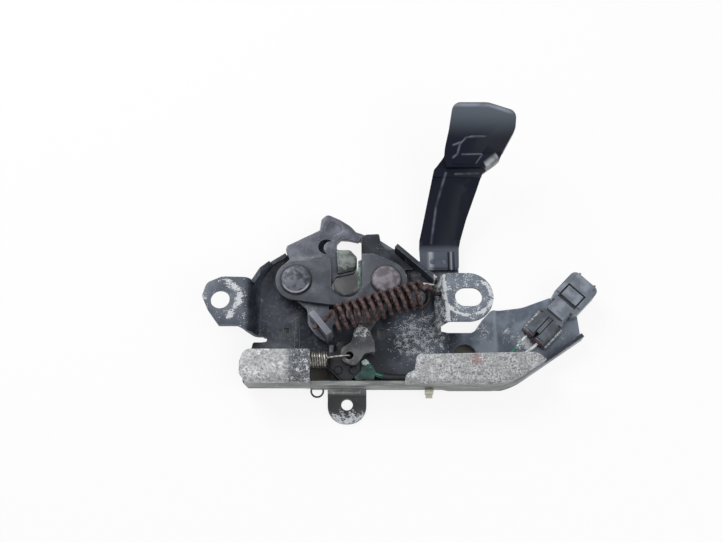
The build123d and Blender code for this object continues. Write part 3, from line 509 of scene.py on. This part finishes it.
def greased_fork_steel():
    """Blanked fork plate under thin grease: slate grey, smooth, slightly glossy, lighter along its edges,
    partly bare and partly a painted highlight, and rubbed lighter on the top of its bent-up arm."""
    material, shader, place = start_material("greased_fork_steel", metallic=0.2, roughness=0.40, specular=0.4)
    film = speckle(material, place, 3.5, 0.40, 0.65)
    shade = tint(material, film, "#4e515b", "#676a76")
    scuff = both(material, speckle(material, place, 0.6, 0.58, 0.68, detail=4), 0.3)
    shade = tint(material, scuff, shade, "#9a9da6")
    shade = edge_wear_and_highlight(material, place, shade, "#b2b5be", width_mm=0.7, share=0.8)
    rubbed = both(material, band(material, place, Z, 15.0, 17.0), 0.45)
    link(material, occlusion_shade(material, tint(material, rubbed, shade, "#8b8d97")), shader, "Base Color")
    relief(material, shader, film, distance_mm=0.06, strength=0.4)
    return material


def bloomed_zinc():
    """Zinc plate on the pawl, dark with grease, with white bloom on the upper end of its lever."""
    material, shader, place = start_material("bloomed_zinc_plate", metallic=0.15, roughness=0.5, specular=0.4)
    top = both(material, spot(material, place, (7.5, -25.5, 11), 2.0, 6.5), 0.62)
    edge = white_bloom(material, place, either(material, top, 0.08), grain_mm=0.4)
    shade = tint(material, speckle(material, place, 2.5, 0.4, 0.6), "#46474b", "#626367")
    shade = edge_wear_and_highlight(material, place, shade, "#a3a4a8")
    link(material, occlusion_shade(material, tint(material, edge, shade, "#dcdee0")), shader, "Base Color")
    relief(material, shader, edge, distance_mm=0.2, strength=0.6)
    return material


def rusty_wire():
    """Spring wire under an even brown rust, with painted shade on the lower side of its coil and a few rubbed
    specks.
    """
    material, shader, place = start_material("rusted_spring_wire", metallic=0.1, roughness=0.6, specular=0.35)
    scale = speckle(material, place, 0.9, 0.40, 0.62, detail=5)
    shade = tint(material, scale, "#33262a", "#64504d")
    # Painted shade on the lower side of the coil
    deep_shade = both(material, band(material, place, Z, 18.0, 12.5), 0.85)
    shade = tint(material, deep_shade, shade, "#1f1718")
    rub = both(material, speckle(material, place, 0.5, 0.60, 0.68, shift=0.5), 0.5)
    link(material, tint(material, rub, shade, "#8a7470"), shader, "Base Color")
    relief(material, shader, scale, distance_mm=0.08, strength=0.6)
    return material


def dark_torsion_wire():
    """The handle's spring: wire gone brown-black under dirt, rubbed bright where its end bears on the
    wall."""
    material, shader, place = start_material("dirty_spring_wire", metallic=0.4, roughness=0.5)
    rubbed = both(material, band(material, place, X, 35.0, 37.0), band(material, place, Y, -2.6, -1.6))
    dirt = speckle(material, place, 0.8, 0.4, 0.6)
    shade = tint(material, dirt, "#1c1919", "#332c2a")
    link(material, tint(material, rubbed, shade, "#cdc9c2"), shader, "Base Color")
    return material


def bright_wire():
    """Drawn spring wire with a zinc skin, rubbed bright in specks."""
    material, shader, place = start_material("bright_spring_wire", metallic=0.7, roughness=0.34)
    wear = speckle(material, place, 0.8, 0.45, 0.65)
    link(material, tint(material, wear, "#7d7b76", "#c4c1ba"), shader, "Base Color")
    return material


def gloss_black_paint():
    """Baked black paint on the pressed handle: blue-black and glossy, with a painted reflection lighter
    towards the top of the paddle, grey at the foot with painted shade in its grooves and painted highlights
    on its ridges, painted highlights that also stand for worn paint along the folds, round the panel and on
    the rolled rim, and a painted reflection at one corner of the paddle."""
    material, shader, place = start_material("gloss_black_paint", metallic=0.0, roughness=0.26, specular=0.12)
    # Painted reflection: the top of the paddle is painted lighter
    shade = tint(material, band(material, place, Y, 65.0, 79.0), "#171b29", "#5d656f")
    shade = tint(material, band(material, place, Y, 21.6, 18.6), shade, "#565c68")
    # Painted shade in the grooves of the foot
    groove_shade = trail(material, place, [(50.9, 8), (50.9, 17.8)], 0.9)
    groove_shade = either(material, groove_shade, trail(material, place, [(53.6, 8), (53.6, 17.8)], 0.6))
    shade = tint(material, groove_shade, shade, "#15171c")
    # Painted highlights on the ridges of the foot
    ridge_highlights = trail(material, place, [(52.3, 8), (52.3, 17.8)], 0.5)
    ridge_highlights = either(material, ridge_highlights, trail(material, place, [(42.0, 8), (42.0, 17.8)], 2.2))
    shade = tint(material, both(material, ridge_highlights, 0.6), shade, "#c3c8cf")
    breakup = ramp(material, grains(material, place, 4.0, 2), 0.36, 0.60, 0.30, 1.0)
    # Painted highlights, which also stand for worn paint, along the fold, the rim, the panel, its lip and the
    # joggle
    fold_highlight = trail(material, place, [(42.3, 21.5), (44.6, 38.0), (49.3, 52.8)], 1.0)
    rim = trail(material, place, [(52.8, 80.3), (69.4, 80.3), (81.6, 77.0)], 1.3)
    outline = [(52.2, 57.8), (54.6, 59.4), (55.7, 63.6), (58.8, 66.5), (68.6, 66.9)]
    panel_highlight = trail(material, place, outline, 0.8)
    panel_highlight = either(material, panel_highlight, trail(material, place, [(52.2, 63.2), (56.4, 64.6)], 0.7))
    lip_highlight = trail(material, place, [(56.6, 59.0), (66.8, 59.2), (63.7, 55.4)], 0.6)
    joggle_highlight = trail(material, place, [(53.5, 51.9), (65.8, 52.3)], 0.8)
    worn = either(
        material, both(material, fold_highlight, 0.36), both(material, rim, 0.8), both(material, panel_highlight, 0.5),
        both(material, lip_highlight, 0.36), both(material, joggle_highlight, 0.34),
    )
    shade = tint(material, both(material, worn, breakup), shade, "#9ea5b4")
    # Painted reflection: a pale patch at the turned-down corner of the paddle
    corner = trail(material, place, [(68.6, 54.4), (74.4, 58.4)], 2.6)
    shade = tint(material, both(material, corner, breakup, 0.85), shade, "#cbd0d4")
    link(material, occlusion_shade(material, shade, reach_mm=3.0, share=0.5), shader, "Base Color")
    relief(material, shader, speckle(material, place, 0.9, 0.3, 0.7), distance_mm=0.015, strength=0.3)
    return material


def painted_rivet():
    """Rivets under the handle's own paint, worn like its foot."""
    material, shader, place = start_material("painted_rivet", metallic=0.0, roughness=0.3, specular=0.2)
    wear = speckle(material, place, 1.0, 0.4, 0.62)
    link(material, tint(material, wear, "#4a4f59", "#686e79"), shader, "Base Color")
    return material


def blackened_rivet():
    """Small blackened steel rivets, dull."""
    material, shader, place = start_material("blackened_rivet", metallic=0.2, roughness=0.5, specular=0.3)
    wear = speckle(material, place, 0.8, 0.4, 0.62)
    link(material, tint(material, wear, "#1d1e22", "#34363c"), shader, "Base Color")
    return material


def crusted_clip():
    """Moulded clip foot beside the plug, pale under a white crust."""
    material, shader, place = start_material("crusted_nylon_clip", metallic=0.0, roughness=0.5, specular=0.4)
    shade = tint(material, speckle(material, place, 1.6, 0.4, 0.62), "#737a83", "#98a0a8")
    crust = white_bloom(material, place, 0.55, grain_mm=0.4)
    link(material, tint(material, crust, shade, "#e3e7ea"), shader, "Base Color")
    relief(material, shader, crust, distance_mm=0.2, strength=0.6)
    return material


def zinc_catch_plate():
    """Flat catch plate in dull dark zinc."""
    material, shader, place = start_material("dull_zinc_catch", metallic=0.3, roughness=0.45, specular=0.4)
    wear = speckle(material, place, 2.0, 0.42, 0.62)
    shade = tint(material, wear, "#4d515a", "#6c7079")
    link(material, occlusion_shade(material, shade), shader, "Base Color")
    relief(material, shader, wear, distance_mm=0.06, strength=0.5)
    return material


def greased_pad():
    """Moulded pad under old green grease: pale on top, teal at its sides, a ragged dark lower edge."""
    material, shader, place = start_material("greased_moulded_pad", metallic=0.0, roughness=0.36)
    smear = speckle(material, place, 2.4, 0.38, 0.62, detail=4)
    shade = tint(material, smear, "#4a514e", "#7f8783")
    sides = either(material, band(material, place, X, -2.4, -4.6), band(material, place, X, 3.0, 4.6))
    grease = both(material, sides, speckle(material, place, 1.0, 0.42, 0.56, shift=0.2), 0.8)
    shade = tint(material, grease, shade, "#2f524c")
    rise = add(material, "SeparateXYZ", {"Vector": place}).outputs[Y]
    ragged = grains(material, place, 1.2, 4)
    rough = add(material, "Math", {0: ragged, 1: 8 * MM}, operation="MULTIPLY").outputs[0]
    height = add(material, "Math", {0: rise, 1: rough}, operation="SUBTRACT").outputs[0]
    shade = tint(material, ramp(material, height, 3.4 * MM, 2.6 * MM), shade, "#161a1b")
    link(material, occlusion_shade(material, shade), shader, "Base Color")
    relief(material, shader, smear, distance_mm=0.2, strength=0.6)
    return material


def dark_trim():
    """Extruded trim in the slot: soft dark grey with a thin rubbed green line."""
    material, shader, place = start_material("dark_slot_trim", metallic=0.0, roughness=0.5)
    dirt = speckle(material, place, 1.2, 0.4, 0.62)
    shade = tint(material, dirt, "#2f3033", "#55565a")
    line = both(material, band(material, place, X, 5.4, 6.0), band(material, place, Z, 9.4, 10.0),
                speckle(material, place, 0.9, 0.4, 0.55), 0.7)
    link(material, tint(material, line, shade, "#83a39b"), shader, "Base Color")
    return material


def green_sealant():
    """Sealing block of the switch: dark bottle green, wet looking, with a white crust on its upper tip."""
    material, shader, place = start_material("green_seal_block", metallic=0.0, roughness=0.3)
    shade = tint(material, speckle(material, place, 1.8, 0.4, 0.6), "#0f2a29", "#1f4a45")
    tip = both(material, spot(material, place, (9.6, -39.4, 5), 1.2, 3.6), 0.85)
    crust = white_bloom(material, place, tip, grain_mm=0.4)
    link(material, tint(material, crust, shade, "#cfdcd8"), shader, "Base Color")
    relief(material, shader, crust, distance_mm=0.2, strength=0.6)
    return material


def crusted_lead(name, dark, light):
    """Lead insulation: soft vinyl, crusted white and green where it enters the plug."""
    material, shader, place = start_material(name, metallic=0.0, roughness=0.45)
    shade = tint(material, speckle(material, place, 1.5, 0.4, 0.65), dark, light)
    near = both(material, spot(material, place, (88, -31, 3), 4, 9), 0.62)
    crust = white_bloom(material, place, near, grain_mm=0.4)
    link(material, tint(material, crust, shade, "#dfe7e4"), shader, "Base Color")
    relief(material, shader, crust, distance_mm=0.2, strength=0.6)
    return material


def moulded_plastic(name, dark, light, roughness):
    """Moulded nylon: even colour with a fine spark texture, dull dust, edges lighter partly by wear and
    partly by a painted highlight, and painted shade in its corners.
    """
    material, shader, place = start_material(name, metallic=0.0, roughness=roughness, specular=0.4)
    dust = speckle(material, place, 2.5, 0.4, 0.65)
    shade = tint(material, dust, dark, light)
    shade = edge_wear_and_highlight(material, place, shade, "#9ba1aa", width_mm=0.4, share=0.4)
    link(material, occlusion_shade(material, shade, reach_mm=2.5, share=0.85), shader, "Base Color")
    relief(material, shader, speckle(material, place, 0.25, 0.3, 0.7), distance_mm=0.02, strength=0.4)
    return material


FINISHES = {
    "black_plate": corroded_e_coat,
    "dark_strap": phosphated_strap,
    "dark_rivet": staked_rivet,
    "dull_steel": dull_steel,
    "fork_steel": greased_fork_steel,
    "pawl_steel": bloomed_zinc,
    "rusty_spring": rusty_wire,
    "bright_spring": bright_wire,
    "black_handle": gloss_black_paint,
    "zinc_catch": zinc_catch_plate,
    "green_pad": greased_pad,
    "black_plastic": lambda: moulded_plastic("black_nylon", "#17181c", "#24262b", 0.5),
    "grey_plastic": lambda: moulded_plastic("dark_grey_nylon", "#6a717b", "#8a919c", 0.38),
    "cream_plastic": lambda: moulded_plastic("cream_nylon", "#cfc9b8", "#e2ddcf", 0.5),
    "green_wire": lambda: crusted_lead("green_pvc", "#1c5f4f", "#35836f"),
    "white_wire": lambda: crusted_lead("white_pvc", "#b9bbb8", "#dedfdc"),
    "seal_rubber": lambda: moulded_plastic("dark_red_silicone", "#4b1f2b", "#6b3140", 0.55),
    "terminal_tin": dull_steel,
}

# Nodes whose own finish differs from the rest of their slot
NODE_FINISHES = {
    "handle_spring": dark_torsion_wire,
    "slot_liner": dark_trim,
    "switch_boot": green_sealant,
    "switch_rivets": blackened_rivet,
    "handle_rivets": painted_rivet,
    "connector_clip": crusted_clip,
    "connector_retainer": lambda: moulded_plastic("retainer_nylon", "#4a4f57", "#646a74", 0.4),
    "switch_housing": lambda: moulded_plastic("switch_black_nylon", "#15161a", "#222329", 0.42),
    "switch_cover": lambda: moulded_plastic("switch_lid_nylon", "#1b1c21", "#2a2b31", 0.42),
}
made_finishes = {}


def finish_for(node):
    """The finish of a node, made once: its own where it has one, else that of its slot."""
    key = node if node in NODE_FINISHES else NODE_SLOT[node]
    if key not in made_finishes:
        made_finishes[key] = NODE_FINISHES[node]() if node in NODE_FINISHES else FINISHES[key]()
    return made_finishes[key]


# Pieces

def dress(piece, node):
    """Gives a new piece the finish of the node that it stands for."""
    piece.data.materials.clear()
    piece.data.materials.append(finish_for(node))
    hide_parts(node)


def pick(piece):
    """Selects one piece alone and makes it the active one."""
    bpy.ops.object.select_all(action="DESELECT")
    piece.select_set(True)
    bpy.context.view_layer.objects.active = piece


def smooth(piece, angle=35):
    """Shades a piece smooth across edges of less than this many degrees."""
    pick(piece)
    bpy.ops.object.shade_smooth_by_angle(angle=radians(angle))


def softened(node, width_mm):
    """A copy of a CAD node with its doubles merged, its flats whole and its edges broken."""
    piece = bpy.data.objects.new(node + "_finished", frame["nodes"][node].data.copy())
    bpy.context.scene.collection.objects.link(piece)
    pick(piece)
    bpy.ops.object.mode_set(mode="EDIT")
    bpy.ops.mesh.select_all(action="SELECT")
    bpy.ops.mesh.remove_doubles(threshold=MERGE_DISTANCE)
    bpy.ops.mesh.dissolve_limited(angle_limit=FLAT_ANGLE)
    bpy.ops.object.mode_set(mode="OBJECT")
    bevel = piece.modifiers.new("broken_edges", "BEVEL")
    bevel.width = width_mm * MM
    bevel.segments = 2
    bevel.limit_method = "ANGLE"
    bevel.angle_limit = SHARP_ANGLE
    bevel.use_clamp_overlap = True
    bpy.ops.object.modifier_apply(modifier=bevel.name)
    smooth(piece)
    dress(piece, node)
    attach(piece, NODE_BODY[node])


def bent_wire(name, points, radius):
    """A round wire through a list of points in millimetres, as a mesh."""
    path = bpy.data.curves.new(name, "CURVE")
    path.dimensions = "3D"
    line = path.splines.new("POLY")
    line.points.add(len(points) - 1)
    for knot, point in zip(line.points, points):
        knot.co = (*(Vector(point) * MM), 1.0)
    path.bevel_depth = radius * MM
    path.bevel_resolution = 2
    path.use_fill_caps = True
    piece = bpy.data.objects.new(name, path)
    bpy.context.scene.collection.objects.link(piece)
    pick(piece)
    bpy.ops.object.convert(target="MESH")
    smooth(piece, 50)
    return piece


def rounded(points, steps=6, reach=0.45):
    """Corners of an open path turned into soft bends that start at this share of each side."""
    out = [Vector(points[0])]
    for before, here, after in zip(points, points[1:], points[2:]):
        before, here, after = Vector(before), Vector(here), Vector(after)
        entry = here.lerp(before, reach)
        leave = here.lerp(after, reach)
        for i in range(steps + 1):
            t = i / steps
            out.append(entry.lerp(here, t).lerp(here.lerp(leave, t), t))
    out.append(Vector(points[-1]))
    return out


def coil_points(start, end, radius, turns, per_turn=28):
    """Points of a helix between two points of its axis, starting and ending at its top."""
    along = (end - start).normalized()
    up = (Vector((0, 0, 1)) - along * along.z).normalized()
    side = along.cross(up)
    count = turns * per_turn
    points = []
    for i in range(count + 1):
        turn = 2 * pi * i / per_turn
        centre = start.lerp(end, i / count)
        points.append(centre + up * (radius * cos(turn)) + side * (radius * sin(turn)))
    return points


def main_spring():
    """Rusty extension spring, hooked into the fork's bent-up arm and into the right wall."""
    body = coil_points(MAIN_START, MAIN_END, MAIN_COIL_R, MAIN_TURNS)
    # Left hook: down behind the fork's arm, through its hole and on to the coil
    arm_out = Vector((sin(FORK_ARM_FACING), cos(FORK_ARM_FACING), 0))
    left = [FORK_EYE - arm_out * 3.2 + Vector((0, 0, 4)), FORK_EYE - arm_out * 3.2, FORK_EYE + arm_out * 3.4]
    left = rounded(left + [body[0] + Vector((-1.0, 2.6, -1.0)), body[0], body[2]])[:-1]
    # Right hook: from the coil through the wall's hole
    right = [body[-3], body[-1], body[-1] + Vector((2.0, 3.0, -2.2)), WALL_EYE + Vector((-4.2, 0, 1.2))]
    right = rounded(right + [WALL_EYE, WALL_EYE + Vector((4.2, 0, -1.0))])[1:]
    piece = bent_wire("main_spring_wire", left + body[3:-3] + right, MAIN_WIRE_R)
    dress(piece, "main_spring")
    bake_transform(piece)


def pawl_spring():
    """Small bright extension spring from the pan's left wall to the pawl's lever."""
    body = coil_points(PAWL_START, PAWL_END, PAWL_COIL_R, PAWL_TURNS, per_turn=20)
    # Left hook: up from the wall and on to the coil; right hook: down through the lever's hole
    x0, y0, z0 = PAWL_START
    left = rounded([(x0 - 4.8, y0, z0 - 2.8), (x0 - 4.8, y0, z0), (x0 - 1.6, y0, z0), body[0], body[2]])[:-1]
    right = [body[-3], body[-1], Vector((-6.6, -39.2, 11.6)), PAWL_EYE, PAWL_EYE - Vector((0, 0, 3.6))]
    piece = bent_wire("pawl_spring_wire", left + body[3:-3] + rounded(right)[1:], PAWL_WIRE_R)
    dress(piece, "pawl_spring")
    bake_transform(piece)


# Table that the latch lies on

def floor():
    """White table top. Part of its white is plain to the camera, so that it keeps only a soft shadow, but
    not where it is seen through the latch's own holes. Under two of these it has a painted shadow as well."""
    bpy.ops.object.select_all(action="DESELECT")
    bpy.ops.mesh.primitive_plane_add(size=TABLE_WIDTH, location=(0, 0, FLOOR_Z * MM))
    table = bpy.context.object
    table.name = "white_table"
    material, shader, place = start_material("white_table_top", metallic=0.0, roughness=0.7)
    # Painted shadow on the table under two holes of the latch
    deep_shade = either(material, spot(material, place, LEFT_WINDOW, 7, 10), spot(material, place, ARM_HOLE, 6, 9))
    link(material, tint(material, deep_shade, "#fafafa", "#6f6c64"), shader, "Base Color")
    glow = add(material, "Emission", {"Strength": 1.0})
    pan = spot(material, place, (-3, -19, 0), 22, 31, (0.82, 1, 0))
    slot_root = spot(material, place, (0, 1, 0), 9.5, 13.5, (1, 1, 0))
    arm_hole = spot(material, place, ARM_HOLE, 5, 9)
    window = spot(material, place, (-11, -43, 0), 10, 13)
    window = both(material, window, band(material, place, Y, -51.5, -49.5))
    inside = either(material, pan, slot_root, arm_hole, window)
    share = both(material, seen_rays(material), outside(material, inside), TABLE_GLOW)
    mixed = add(material, "MixShader", {0: share, 1: shader.outputs[0], 2: glow.outputs[0]})
    out = material.node_tree.nodes["Material Output"]
    material.node_tree.links.new(mixed.outputs[0], out.inputs["Surface"])
    table.data.materials.append(material)


# The whole scene

bpy.context.scene.view_settings.view_transform = "Standard"
place_camera()
light_the_bench()
floor()
main_spring()
pawl_spring()
for name, width in SOFTENED_EDGES.items():
    softened(name, width)
replaced = set(SOFTENED_EDGES) | {"main_spring", "pawl_spring"}
for name, cad in frame["nodes"].items():
    if name not in replaced:
        for slot in cad.material_slots:
            slot.material = finish_for(name)
